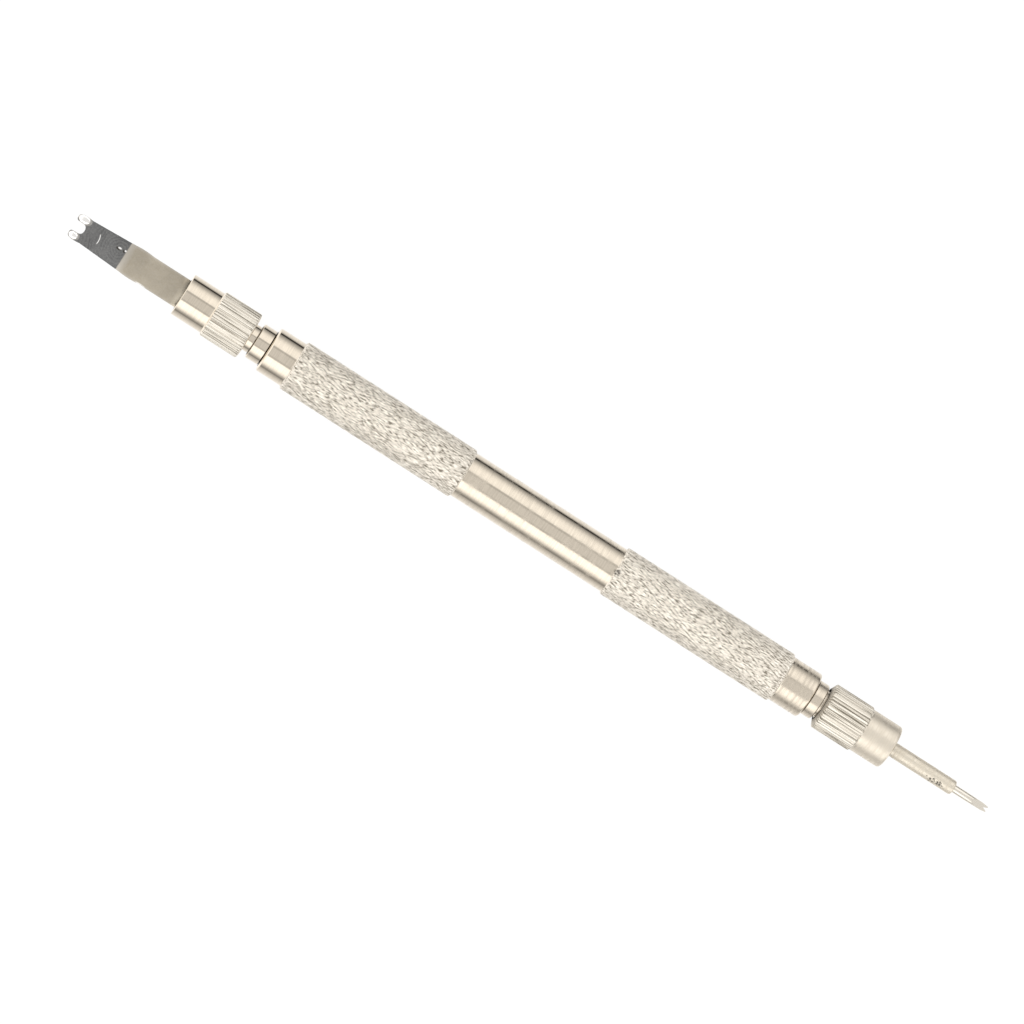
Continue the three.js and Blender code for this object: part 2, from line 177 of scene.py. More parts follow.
def divide(outline, longest, low=-1e9, high=1e9):
    """Adds points along the outer stretches of an outline that are longer than the given step."""
    fine = [outline[0]]
    for (x0, r0), (x1, r1) in zip(outline, outline[1:]):
        inside = low <= min(x0, x1) and max(x0, x1) <= high
        parts = max(1, math.ceil(abs(x1 - x0) / longest)) if inside else 1
        for part in range(1, parts + 1):
            t = part / parts
            fine.append((x0 + (x1 - x0) * t, r0 + (r1 - r0) * t))
    return fine


def turned(outline, sides, radius_at=None):
    """Turns an outline of (x, radius) round the X axis. A bar's outline starts and ends on the axis."""
    points = np.array(outline)
    along, radii = points[:, 0], points[:, 1]
    area = np.sum(along * np.roll(radii, -1) - np.roll(along, -1) * radii)
    if area > 0:
        points = points[::-1]
    is_bar = min(points[0, 1], points[-1, 1]) < 1e-6
    poles = points[[0, -1], 0] if is_bar else []
    rows = points[1:-1] if is_bar else points
    angle = np.arange(sides) * 2 * math.pi / sides
    x = np.repeat(rows[:, :1], sides, axis=1)
    r = np.repeat(rows[:, 1:], sides, axis=1)
    if radius_at is not None:
        r = radius_at(x, angle[None, :], r)
    grid = np.stack([x, r * np.cos(angle), r * np.sin(angle)], axis=-1).reshape(-1, 3)
    count = len(rows)
    row = np.arange(count - 1 if is_bar else count)
    column = np.arange(sides)
    here = row[:, None] * sides
    there = ((row + 1) % count)[:, None] * sides
    beside = (column + 1) % sides
    quads = np.stack([here + column, here + beside, there + beside, there + column], axis=-1)
    vertices = grid.tolist() + [(pole, 0, 0) for pole in poles]
    faces = quads.reshape(-1, 4).tolist()
    if is_bar:
        first, last = len(grid), len(grid) + 1
        end_row = (count - 1) * sides
        faces += [(first, b, a) for a, b in zip(column.tolist(), beside.tolist())]
        faces += [(last, end_row + a, end_row + b) for a, b in zip(column.tolist(), beside.tolist())]
    return vertices, faces


def make_object(name, vertices, faces, smooth=True):
    mesh = bpy.data.meshes.new(name)
    mesh.from_pydata(vertices, [], faces)
    mesh.transform(Matrix.Scale(MM, 4))
    mesh.polygons.foreach_set("use_smooth", [smooth] * len(mesh.polygons))
    mesh.update()
    piece = bpy.data.objects.new(name, mesh)
    bpy.context.scene.collection.objects.link(piece)
    return piece


def apply_modifiers(piece):
    bpy.context.view_layer.update()
    evaluated = piece.evaluated_get(bpy.context.evaluated_depsgraph_get())
    finished = bpy.data.meshes.new_from_object(evaluated)
    piece.modifiers.clear()
    piece.data = finished


def cut(piece, cutter, operation="DIFFERENCE"):
    """Cuts a piece with another solid, which is then thrown away."""
    boolean = piece.modifiers.new("cut", "BOOLEAN")
    boolean.operation = operation
    boolean.solver = "EXACT"
    boolean.object = cutter
    apply_modifiers(piece)
    bpy.data.objects.remove(cutter)


def round_edges(piece, width, angle=30, segments=3):
    """Bevels the sharp edges and keeps the flats' shading flat."""
    bevel = piece.modifiers.new("edges", "BEVEL")
    bevel.width = width * MM
    bevel.segments = segments
    bevel.limit_method = "ANGLE"
    bevel.angle_limit = math.radians(angle)
    bevel.harden_normals = True
    apply_modifiers(piece)


def smooth_by_angle(piece, degrees=35):
    """Smooth shading with the sharp edges kept sharp."""
    mesh = piece.data
    mesh.polygons.foreach_set("use_smooth", [True] * len(mesh.polygons))
    mesh.set_sharp_from_angle(angle=math.radians(degrees))


def slice_mesh(grid, point, normal, furthest=1.0):
    """Adds a line of edges across the faces that lie before a place along the tool."""
    near = [f for f in grid.faces if min(v.co.x for v in f.verts) < furthest]
    geometry = near + list({e for f in near for e in f.edges}) + list({v for f in near for v in f.verts})
    bmesh.ops.bisect_plane(grid, geom=geometry, dist=1e-7, plane_co=point, plane_no=normal)


def prism(name, points, plane, depth):
    """A solid from a flat outline: plane "xz" is pushed out along Y, "xy" along Z, both ways."""
    half = depth / 2
    count = len(points)
    if plane == "xz":
        vertices = [(x, side, z) for side in (-half, half) for x, z in points]
    else:
        vertices = [(x, y, side) for side in (half, -half) for x, y in points]
    faces = [tuple(range(count)), tuple(reversed(range(count, 2 * count)))]
    for i in range(count):
        j = (i + 1) % count
        faces.append((j, i, count + i, count + j))
    area = sum(a[0] * b[1] - b[0] * a[1] for a, b in zip(points, points[1:] + points[:1]))
    if area < 0:
        faces = [tuple(reversed(face)) for face in faces]
    return make_object(name, vertices, faces, smooth=False)


def finish_piece(piece, body, node, material):
    piece.data.materials.clear()
    piece.data.materials.append(material)
    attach(piece, body)
    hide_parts(node)


# ---------------------------------------------------------------- surface patterns


def scallop(phase):
    """1 at the bottom of each groove, falling to 0 on the rounded ridges between them."""
    away = np.abs((phase + 0.5) % 1 - 0.5)
    return (1 - 2 * away) ** 1.7


def dashes(groove, x, count, length, seed):
    """A repeatable strength from 0 to 1 that changes from groove to groove and along each groove."""
    columns = 64
    table = np.random.default_rng(seed).random((count, columns))
    place = x / length
    column = np.floor(place).astype(int)
    share = place - column
    row = groove.astype(int) % count
    here = table[row, column % columns]
    there = table[row, (column + 1) % columns]
    return here * (1 - share) + there * share


def spots(x, angle, radius, places):
    """Small round marks: 1 in the middle of each (x, angle in degrees, size) place, 0 outside it."""
    depth = np.zeros(np.broadcast(x, angle).shape)
    for centre, degrees, size in places:
        turn = angle - math.radians(degrees)
        around = radius * np.arctan2(np.sin(turn), np.cos(turn))
        depth = np.maximum(depth, np.clip(1.3 - np.hypot(x - centre, around) / size, 0, 1))
    return depth


def ring_lines(x, start, end, count, seed):
    """Thin lines turned right round the tool at uneven places between two ends."""
    draw = np.random.default_rng(seed)
    lines = 0
    for number in range(count):
        place = start + (end - start) * (number + draw.uniform(0.2, 0.8)) / count
        lines = np.maximum(lines, np.clip(1 - np.abs(x - place) / 0.12, 0, 1) * draw.uniform(0.4, 1))
    return lines


def paint(piece, name, amount_at):
    """Stores a number from 0 to 1 at each point, worked out from its x, angle and radius."""
    mesh = piece.data
    points = np.empty(3 * len(mesh.vertices))
    mesh.vertices.foreach_get("co", points)
    x, y, z = points.reshape(-1, 3).T / MM
    amount = np.clip(amount_at(x, np.arctan2(z, y), np.hypot(y, z)), 0, 1)
    layer = mesh.attributes.new(name, "FLOAT", "POINT")
    layer.data.foreach_set("value", np.broadcast_to(amount, x.shape).astype(np.float32))


# ---------------------------------------------------------------- materials


class Nodes:
    """A small helper that adds nodes to a material and links them."""

    def __init__(self, material):
        material.use_nodes = True
        self.tree = material.node_tree
        self.shader = self.tree.nodes["Principled BSDF"]
        self.position = self.tree.nodes.new("ShaderNodeTexCoord").outputs["Object"]
        axes = self.add("ShaderNodeSeparateXYZ")
        self.link(self.position, axes.inputs["Vector"])
        self.x = self.math("MULTIPLY", axes.outputs["X"], 1 / MM)
        self.y = self.math("MULTIPLY", axes.outputs["Y"], 1 / MM)

    def add(self, kind, **settings):
        node = self.tree.nodes.new(kind)
        for key, value in settings.items():
            setattr(node, key, value)
        return node

    def link(self, output, target):
        self.tree.links.new(output, target)

    def set(self, name, value):
        """Puts a number, a colour or another node's output into a socket of the shader."""
        socket = self.shader.inputs[name]
        if isinstance(value, tuple):
            socket.default_value = (*value, 1)
        elif isinstance(value, (int, float)):
            socket.default_value = value
        else:
            self.link(value, socket)

    def math(self, operation, a, b=0.0, clamp=False):
        node = self.add("ShaderNodeMath", operation=operation, use_clamp=clamp)
        for socket, value in zip(node.inputs, (a, b)):
            if isinstance(value, (int, float)):
                socket.default_value = value
            else:
                self.link(value, socket)
        return node.outputs[0]

    def painted(self, name):
        return self.add("ShaderNodeAttribute", attribute_name=name).outputs["Fac"]

    def noise(self, scale, detail=3.0, roughness=0.5, stretch=(1, 1, 1)):
        """Noise over the piece, with a scale in features per millimetre."""
        mapping = self.add("ShaderNodeMapping")
        mapping.inputs["Scale"].default_value = stretch
        self.link(self.position, mapping.inputs["Vector"])
        node = self.add("ShaderNodeTexNoise")
        node.inputs["Scale"].default_value = scale / MM
        node.inputs["Detail"].default_value = detail
        node.inputs["Roughness"].default_value = roughness
        self.link(mapping.outputs["Vector"], node.inputs["Vector"])
        return node.outputs["Fac"]

    def between(self, factor, low, high, start=0.3, stop=0.7):
        """Goes from low to high as the factor goes from start to stop."""
        node = self.add("ShaderNodeMapRange")
        node.inputs["From Min"].default_value = start
        node.inputs["From Max"].default_value = stop
        self.link(factor, node.inputs["Value"])
        for name, value in (("To Min", low), ("To Max", high)):
            if isinstance(value, (int, float)):
                node.inputs[name].default_value = value
            else:
                self.link(value, node.inputs[name])
        return node.outputs["Result"]

    def blend(self, factor, first, second):
        node = self.add("ShaderNodeMix", data_type="RGBA")
        sockets = (node.inputs[6], node.inputs[7])
        for socket, value in zip(sockets, (first, second)):
            if isinstance(value, tuple):
                socket.default_value = (*value, 1)
            else:
                self.link(value, socket)
        self.link(factor, node.inputs[0])
        return node.outputs[2]

    def away(self, centre, half_sizes):
        """Distance from a place on the tool's upper side, in units of the given half sizes."""
        across = self.math("DIVIDE", self.math("SUBTRACT", self.x, centre[0]), half_sizes[0])
        beside = self.math("DIVIDE", self.math("SUBTRACT", self.y, centre[1]), half_sizes[1])
        squares = self.math("ADD", self.math("POWER", across, 2.0), self.math("POWER", beside, 2.0))
        return self.math("SQRT", squares)

    def bump(self, height, strength, distance):
        node = self.add("ShaderNodeBump")
        node.inputs["Strength"].default_value = strength
        node.inputs["Distance"].default_value = distance * MM
        self.link(height, node.inputs["Height"])
        return node.outputs["Normal"]


# The colour of painted shade in crevices, bores and joints, and of real dirt in pits and specks.
SHADE_AND_GRIME = (0.045, 0.038, 0.028)
# The colour of the painted shade in the knurls' grooves.
GROOVE = (0.16, 0.138, 0.10)
# The colour of the painted highlight strokes on the knurls' lands.
HIGHLIGHT_STROKE = (0.95, 0.90, 0.80)


def new_material(name):
    material = bpy.data.materials.new(name)
    return material, Nodes(material)


def plate_colour(nodes, colour, marks, streaks):
    """Nickel darkened along its turning marks and in a few tarnished places."""
    marked = tuple((1 - marks) * c for c in colour)
    tarnished = tuple(0.9 * c for c in colour)
    mottle = nodes.noise(0.45, 4.0, 0.6, stretch=(0.6, 1, 1))
    plate = nodes.blend(nodes.between(streaks, 0.0, 1.0), colour, marked)
    return nodes.blend(nodes.between(mottle, 0.0, 0.6), plate, tarnished)


def plate_roughness(nodes, roughness, streaks):
    """Sharpest at the fork end, uneven on the waist, and duller towards the pin end."""
    patches = nodes.noise(0.9, 3.0, 0.6, stretch=(0.7, 0.6, 0.6))
    uneven = nodes.between(patches, 0.6, 2.2, 0.4, 0.68)
    uneven = nodes.between(nodes.x, uneven, 1.1, PIN_FACE - 6, PIN_FACE - 2)
    on_waist = nodes.between(nodes.x, 0.0, 1.0, FORK_FACE + FORK_RING, FORK_FACE + FORK_RING + 4)
    worn = nodes.between(on_waist, 0.6, uneven, 0.0, 1.0)
    dulled = nodes.between(nodes.x, 1.0, 1.9, PIN_FACE - 6, PIN_FACE + 1)
    polish = nodes.math("MULTIPLY", nodes.between(streaks, roughness * 0.7, roughness * 1.4), dulled)
    return nodes.math("MULTIPLY", polish, worn)


def plated_metal(name, colour, roughness, land, stroke=0.2, marks=0.2):
    """Warm nickel plate with turning marks, mottling, dull knurls, painted highlights and painted shade.

    The painted amounts say where: "knurl" on knurled stretches, "groove" for painted shade in their
    grooves, and "shade_and_grime" for painted shade in crevices, bores, thread valleys and joints and
    for real dirt in pits, specks and turning lines. A small stroke makes long strokes on the knurl.
    """
    material, nodes = new_material(name)
    land_roughness = 0.5
    land_metal = 0.45
    streaks = nodes.noise(5.0, 3.0, 0.6, stretch=(1, 0.08, 0.08))
    strokes = nodes.noise(7.5, 2.0, 0.5, stretch=(stroke, 1, 1))
    knurl = nodes.painted("knurl")
    shade_and_grime = nodes.painted("shade_and_grime")

    dull_land = tuple(0.85 * c for c in land)
    ground = nodes.blend(nodes.between(nodes.noise(9.0, 2.0), 0.0, 1.0), land, dull_land)
    # Pale strokes on the lands are painted highlights.
    ground = nodes.blend(nodes.between(strokes, 1.0, 0.0, 0.36, 0.42), ground, HIGHLIGHT_STROKE)
    # Dark strokes and the groove amount paint the shade in the knurls' grooves.
    dark_strokes = nodes.math("MULTIPLY", knurl, nodes.between(strokes, 0.0, 0.95, 0.55, 0.61))
    base = nodes.blend(knurl, plate_colour(nodes, colour, marks, streaks), ground)
    base = nodes.blend(nodes.math("MAXIMUM", nodes.painted("groove"), dark_strokes), base, GROOVE)
    # Painted shade in crevices, bores and joints, and real dirt in pits and specks, darken the colour
    # here.
    nodes.set("Base Color", nodes.blend(shade_and_grime, base, SHADE_AND_GRIME))

    polish = plate_roughness(nodes, roughness, streaks)
    rough = nodes.between(knurl, polish, land_roughness, 0.0, 1.0)
    nodes.set("Roughness", nodes.between(shade_and_grime, rough, 0.8, 0.0, 1.0))
    metal = nodes.between(knurl, 1.0, land_metal, 0.0, 1.0)
    nodes.set("Metallic", nodes.between(shade_and_grime, metal, 0.1, 0.0, 1.0))

    wobble = nodes.math("MULTIPLY", nodes.noise(1.6, 3.0, 0.6, stretch=(0.5, 1, 1)), 0.25)
    relief = nodes.math("MULTIPLY", dark_strokes, -3.0)
    height = nodes.math("ADD", nodes.math("ADD", streaks, wobble), relief)
    nodes.set("Normal", nodes.bump(height, 0.25, 0.01))
    return material


def spring_metal(name, colour, roughness):
    """Bare spring steel with fine lengthwise drawing lines."""
    material, nodes = new_material(name)
    drawn = nodes.noise(6.0, 3.0, 0.6, stretch=(0.08, 1, 1))
    dull = tuple(0.75 * c for c in colour)
    nodes.set("Base Color", nodes.blend(nodes.between(drawn, 0.0, 1.0), colour, dull))
    nodes.set("Metallic", 1.0)
    nodes.set("Roughness", nodes.between(drawn, 0.8 * roughness, 1.2 * roughness))
    nodes.set("Normal", nodes.bump(drawn, 0.2, 0.01))
    return material


# ---------------------------------------------------------------- the handle

RIGHT_GROOVES = 48
RIGHT_LEAD = 1.53
LEFT_GROOVES = 42
LEFT_LEAD = 1.75
KNURL_DEPTH = 0.1
HANDLE_SIDES = 6 * RIGHT_GROOVES
HANDLE_STEP = 0.22
RAMP = 0.16

PIN_GRIP_LEAD_IN = 0.15

fork_grip = (FORK_FACE + FORK_RING, FORK_FACE + FORK_RING + FORK_GRIP)
pin_grip = (PIN_FACE - PIN_RING - PIN_GRIP - PIN_GRIP_LEAD_IN, PIN_FACE - PIN_RING)


def grooves(x, angle, count, lead, seed):
    """One set of slanting grooves, every second one faint, each deeper and shallower by turns."""
    phase = count * angle / (2 * math.pi) - x / lead
    groove = np.round(phase)
    share = np.where(groove % 2 == 0, 1.0, 0.75)
    strength = 0.1 + 0.9 * dashes(groove, x, count, 0.55, seed)
    return share * strength * scallop(phase)


def inside(x, ends):
    """1 within a stretch of the tool and 0 outside it, with a short ramp at both ends."""
    return np.clip((x - ends[0]) / RAMP, 0, 1) * np.clip((ends[1] - x) / RAMP, 0, 1)


def knurl_depth(x, angle):
    """How deep the two crossing sets of grooves are cut, from 0 to 1."""
    depth = 0
    for ends, right_share, left_share, seed in ((fork_grip, 0.95, 0.95, 11), (pin_grip, 1.0, 0.6, 23)):
        right = right_share * grooves(x, angle, RIGHT_GROOVES, RIGHT_LEAD, seed)
        left = left_share * grooves(x, angle, LEFT_GROOVES, -LEFT_LEAD, seed + 1)
        depth = depth + inside(x, ends) * np.maximum(right, left)
    return depth


def on_grips(x, angle, r):
    """1 on the two grips and the short ramps at their ends, 0 elsewhere."""
    on_fork_grip = (x > fork_grip[0] - RAMP - 0.03) & (x < fork_grip[1] + 0.03)
    on_pin_grip = (x > pin_grip[0] - 0.03) & (x < pin_grip[1] + RAMP + 0.03)
    return np.where(on_fork_grip | on_pin_grip, 1.0, 0.0)


def handle_radius(x, angle, r):
    return np.where(r > WAIST_RADIUS + 0.01, r - KNURL_DEPTH * knurl_depth(x, angle), r)


def border_specks():
    """Specks of dirt caught where the waist meets the pin end's knurl, on its upper side."""
    draw = np.random.default_rng(3)
    return [
        (pin_grip[0] + draw.uniform(-0.25, 0.5), draw.uniform(84, 101), draw.uniform(0.12, 0.2))
        for _ in range(10)
    ]


def handle_shade_and_grime(x, angle, r):
    # Painted shade on the end faces inside the joints with the collars, with real dirt specks and
    # turning lines.
    joint = ((x <= FORK_FACE + 0.01) | (x >= PIN_FACE - 0.01)) & (r < JOINT_RADIUS + 0.02)
    specks = spots(x, angle, GRIP_RADIUS, border_specks())
    turning_lines = 0.4 * ring_lines(x, PIN_FACE - PIN_RING + 0.3, PIN_FACE - 0.4, 7, 8)
    return np.maximum(np.where(joint, 1.0, 0.0), np.maximum(specks, turning_lines))


def handle_outline():
    """The whole handle from the bottom of one end's hole to the bottom of the other's."""
    hole_depth = 7.2
    hole_radius = 1.85
    round_along = 0.35
    round_across = 0.5
    outline = [
        (FORK_FACE + hole_depth, 0),
        (FORK_FACE + hole_depth, hole_radius),
        (FORK_FACE, hole_radius),
        (FORK_FACE, JOINT_RADIUS),
        (FORK_FACE, FORK_RING_RADIUS - round_across),
    ]
    outline += curve(
        outline[-1], (FORK_FACE, FORK_RING_RADIUS), (FORK_FACE + round_along, FORK_RING_RADIUS), 6
    )
    outline += soften([
        (FORK_FACE + round_along + 0.1, FORK_RING_RADIUS),
        (fork_grip[0] - RAMP, FORK_RING_RADIUS),
        (fork_grip[0], GRIP_RADIUS),
        (fork_grip[1] - RAMP, GRIP_RADIUS),
        (fork_grip[1], WAIST_RADIUS),
        (pin_grip[0] - 0.6, WAIST_RADIUS),
        (pin_grip[0], WAIST_RADIUS),
        (pin_grip[0] + RAMP, GRIP_RADIUS),
        (pin_grip[1], GRIP_RADIUS),
        (pin_grip[1] + RAMP, PIN_RING_RADIUS),
        (PIN_FACE - round_along - 0.1, PIN_RING_RADIUS),
    ], 0.08, steps=2, closed=False)
    outline.append((PIN_FACE - round_along, PIN_RING_RADIUS))
    outline += curve(
        outline[-1], (PIN_FACE, PIN_RING_RADIUS), (PIN_FACE, PIN_RING_RADIUS - round_across), 6
    )
    outline += [
        (PIN_FACE, JOINT_RADIUS),
        (PIN_FACE, hole_radius),
        (PIN_FACE - hole_depth, hole_radius),
        (PIN_FACE - hole_depth, 0),
    ]
    for ends in (fork_grip, pin_grip):
        outline = divide(outline, HANDLE_STEP, ends[0] - RAMP, ends[1] + RAMP)
    return divide(outline, 0.3, PIN_FACE - PIN_RING, PIN_FACE)


def make_handle(material):
    piece = make_object("handle_turned", *turned(handle_outline(), HANDLE_SIDES, handle_radius))
    paint(piece, "knurl", on_grips)
    # The groove amount is painted shade in the knurl's grooves.
    paint(piece, "groove", lambda x, angle, r: 1.3 * knurl_depth(x, angle) - 0.25)
    paint(piece, "shade_and_grime", handle_shade_and_grime)
    finish_piece(piece, "root", "handle", material)


# ---------------------------------------------------------------- the studs and nuts


def place_at_end(end, vertices, faces):
    """Moves a piece built along its distance out from the handle's face to its own end."""
    placed = [(end.face + end.side * x, y, z) for x, y, z in vertices]
    if end.side < 0:
        faces = [tuple(reversed(face)) for face in faces]
    return placed, faces


def make_stud(end, material):
    """Collar, threaded neck and tail, bored right through."""
    bore = 1.42
    tail = 7.0
    tail_radius = 1.8
    collar_radius = widest(end.name + "_stud")
    joint_gap = 0.1
    edge = 0.06
    relief_radius = 1.9
    mouth_radius = 1.72
    mouth_cone = 0.42
    thread_start = end.collar + end.relief
    outline = soften([
        (-tail, bore),
        (-tail, tail_radius),
        (joint_gap, tail_radius),
        (joint_gap, collar_radius - edge),
        (joint_gap + edge, collar_radius),
        (end.collar - 2 * edge, collar_radius),
        (end.collar, collar_radius - 2 * edge),
        (end.collar, relief_radius),
        (thread_start, relief_radius),
        (thread_start, THREAD_CORE_RADIUS),
        (end.mouth, THREAD_CORE_RADIUS),
        (end.mouth, mouth_radius),
        (end.mouth - mouth_cone, bore),
    ], 0.04)
    outline = divide(outline, 0.05, end.collar, thread_start)
    outline = divide(outline, 0.035, thread_start, end.mouth)
    height = THREAD_RADIUS - THREAD_CORE_RADIUS

    def thread(x, angle, r):
        placed = end.face + end.side * x
        turn = (placed / THREAD_PITCH - angle / (2 * math.pi)) % 1
        crest = np.clip(1.15 - np.abs(turn - 0.5) * 2.6, 0, 1)
        from_mouth = np.clip((end.mouth - x) / height, 0, 1)
        is_neck = (x > thread_start + 0.03) & (r > bore + 0.2) & (x < end.mouth)
        return np.where(is_neck, r + height * crest * from_mouth, r)

    # Painted shade where the stud meets the handle, in the corner at the collar's root and in the
    # thread's valleys.
    def shade_and_grime(x, angle, r):
        out = end.out(x)
        joint = np.where((out < joint_gap + 0.5 * edge) & (r < collar_radius - 0.01), 1.0, 0.0)
        root = np.clip(1 - np.abs(out - end.collar) / 0.09, 0, 1) * (r < relief_radius + 0.1)
        valleys = np.clip((THREAD_RADIUS - r) / height, 0, 1) * (out > thread_start + 0.02) * 0.15
        return np.maximum(joint, np.maximum(root, valleys))

    piece = make_object(end.name + "_stud_turned", *place_at_end(end, *turned(outline, 96, thread)))
    paint(piece, "shade_and_grime", shade_and_grime)
    finish_piece(piece, "root", end.name + "_stud", material)


NUT_TEETH = 24
NUT_SIDES = 16 * NUT_TEETH
NUT_GROOVE = 0.17
FAINT_GROOVE = 0.7
NUT_KNURL_RADIUS = 3.25
NUT_RAMP = 0.2


def nut_outline(end, rear_radius, rear_cone, nose_round, pocket):
    """Round the outside from the rear, then back through the mouth, cone seat and thread bore."""
    knurl_end = end.nut_rear + end.knurl
    seat_front = end.mouth + 2.65
    seat_rear = seat_front - 1.1
    seat_rear_radius = 1.9
    mouth_radius = 2.2 if pocket else SEAT_RADIUS
    outline = [
        (end.nut_rear, NUT_BORE_RADIUS),
        (end.nut_rear, rear_radius),
        (end.nut_rear + rear_cone, NUT_KNURL_RADIUS),
        (knurl_end - NUT_RAMP, NUT_KNURL_RADIUS),
        (knurl_end, end.ferrule_radius),
        (end.nut_front - nose_round, end.ferrule_radius),
        (end.nut_front - 0.29 * nose_round, end.ferrule_radius - 0.29 * nose_round),
        (end.nut_front, end.ferrule_radius - nose_round),
        (end.nut_front, mouth_radius + 0.15),
        (end.nut_front, mouth_radius),
    ]
    if pocket:
        outline.append((end.nut_front - NUT_POCKET_DEPTH, mouth_radius))
        outline.append((end.nut_front - NUT_POCKET_DEPTH, SEAT_RADIUS))
    outline.append((seat_front, SEAT_RADIUS))
    outline.append((seat_rear, seat_rear_radius))
    outline.append((seat_rear, NUT_BORE_RADIUS))
    return divide(soften(outline, 0.07), 0.4, end.nut_rear, knurl_end)


def make_nut(end, material, rear_radius, rear_cone, nose_round, pocket, seed):
    """A chuck nut with a straight knurl and a smooth ferrule. Only the fork's has a pocket."""
    knurl_end = end.nut_rear + end.knurl
    outline = nut_outline(end, rear_radius, rear_cone, nose_round, pocket)

    def tooth_depth(out, angle):
        """How deep the straight grooves are, from 0 to 1, with a fainter one between each pair."""
        phase = 2 * NUT_TEETH * angle / (2 * math.pi)
        groove = np.round(phase)
        strength = 0.55 + 0.45 * dashes(groove, out, 2 * NUT_TEETH, 2.5, seed)
        steady = dashes(groove, 0 * out, 2 * NUT_TEETH, 1.0, seed + 1)
        share = np.where(groove % 2 == 0, 0.6 + 0.4 * steady, FAINT_GROOVE * steady)
        return share * strength * scallop(phase)

    def knurled(out, r):
        """1 on the knurl, 0 on the ferrule and inside the nut."""
        on_knurl = (out > end.nut_rear + 0.5 * rear_cone) & (out < knurl_end - 0.5 * NUT_RAMP)
        return np.where(on_knurl & (r > NUT_BORE_RADIUS + 0.6), 1.0, 0.0)

    def on_teeth(x, angle, r):
        """1 where the plate is dull: the knurl and the ramp down to the ferrule."""
        out = end.out(x)
        along = (out > end.nut_rear + 0.4 * rear_cone) & (out < knurl_end + 0.02)
        return np.where(along & (r > rear_radius + 0.1), 1.0, 0.0)

    def straight_knurl(out, angle, r):
        return r - NUT_GROOVE * tooth_depth(out, angle) * knurled(out, r)

    # Painted shade in the straight grooves, heaviest where they run out at the rear cone.
    def groove_paint(x, angle, r):
        out = end.out(x)
        runout = np.clip(1 - (out - end.nut_rear - rear_cone) / 0.5, 0, 1)
        return (tooth_depth(out, angle) * (1.2 + 1.6 * runout) - 0.12) * on_teeth(x, angle, r)

    # Painted shade inside the nut's bore and pocket and on its rear face.
    def shade_and_grime(x, angle, r):
        inside_radius = 2.33
        rear_face_radius = 2.62
        at_rear = end.out(x) < end.nut_rear + 0.6 * rear_cone
        dark_inside = np.clip((inside_radius - r) / 0.1, 0, 1)
        return np.maximum(dark_inside, np.where(at_rear, (rear_face_radius - r) / 0.3, 0))

    solid = turned(outline, NUT_SIDES, straight_knurl)
    piece = make_object(end.name + "_nut_knurled", *place_at_end(end, *solid))
    paint(piece, "knurl", on_teeth)
    paint(piece, "groove", groove_paint)
    paint(piece, "shade_and_grime", shade_and_grime)
    finish_piece(piece, end.name + "_chuck_nut", end.name + "_nut", material)


# ---------------------------------------------------------------- the collets


def make_collet(end, material):
    """A split sleeve with a head coned at both sides."""
    bore = SHANK_RADIUS + 0.04
    tail = 5.2
    tail_radius = 1.35
    head_radius = 1.7
    rear_cone = (-0.42, 0.07)
    front_cone = (1.69, 2.25)
    nose = front_cone[1]
    nose_radius = 1.3
    slit = 0.3
    slit_depth = 3.6
    outline = soften([
        (end.mouth - tail, bore),
        (end.mouth - tail, tail_radius),
        (end.mouth + rear_cone[0], tail_radius),
        (end.mouth + rear_cone[1], head_radius),
        (end.mouth + front_cone[0], head_radius),
        (end.mouth + nose, nose_radius),
        (end.mouth + nose, bore),
    ], 0.05)
    piece = make_object(end.name + "_collet_split", *turned(end.at(outline), 96))
    ends = [end.face + end.side * (end.mouth + reach) for reach in (-slit_depth, nose + 1)]
    low, high = min(ends), max(ends)
    for plane in ("xz", "xy"):
        corners = [(low, -slit / 2), (high, -slit / 2), (high, slit / 2), (low, slit / 2)]
        cut(piece, prism("slit", corners, plane, 6))
    smooth_by_angle(piece)
    finish_piece(piece, end.name + "_jaws", end.name + "_collet", material)


# ---------------------------------------------------------------- the fork blade

# Measured from the blade's tip.
NOTCH_HALF = 0.7
NOTCH_DEPTH = 1.65
HEAD_HALF = 1.75
HEAD_AT = 0.9
GRIND_END = 7.6
BLADE_HALF = 2.0
BLADE_HALF_THICKNESS = 0.45
TIP_HALF_THICKNESS = 0.225
TANG_LENGTH = 4.8
TANG_HALF_WIDTH = 0.92
TANG_HALF_THICKNESS = 0.3
BLADE_SHOULDER = span("fork_blade")[1] - FORK_TIP - TANG_LENGTH
# The polished tine heads, as (distance from the tip, y, half length, half width).
TINE_HEADS = ((0.9, 1.26, 0.85, 0.56), (0.72, -1.2, 0.66, 0.5))


def blade_half_outline():
    """The blade's +Y side from the bottom of its notch to the end of its tang."""
    tine_inner, tine_outer = 1.1, 1.3
    waist = (1.9, 1.675)
    bulge = (9.4, 2.125)
    points = [(NOTCH_DEPTH, 0.0)]
    points += curve(points[-1], (NOTCH_DEPTH, NOTCH_HALF), (NOTCH_DEPTH - NOTCH_HALF, NOTCH_HALF))
    points += curve((0.45, NOTCH_HALF), (0.0, NOTCH_HALF), (0.0, tine_inner))
    points += curve((0.0, tine_outer), (0.05, HEAD_HALF), (HEAD_AT, HEAD_HALF))
    points += curve((HEAD_AT, HEAD_HALF), (1.5, HEAD_HALF), waist)
    points += [(GRIND_END, 1.965)]
    points += curve((GRIND_END + 0.8, 2.03), bulge, (10.4, 2.05))
    points += [(11.0, BLADE_HALF), (BLADE_SHOULDER, BLADE_HALF), (BLADE_SHOULDER, TANG_HALF_WIDTH)]
    points += [(BLADE_SHOULDER + TANG_LENGTH, TANG_HALF_WIDTH)]
    return points


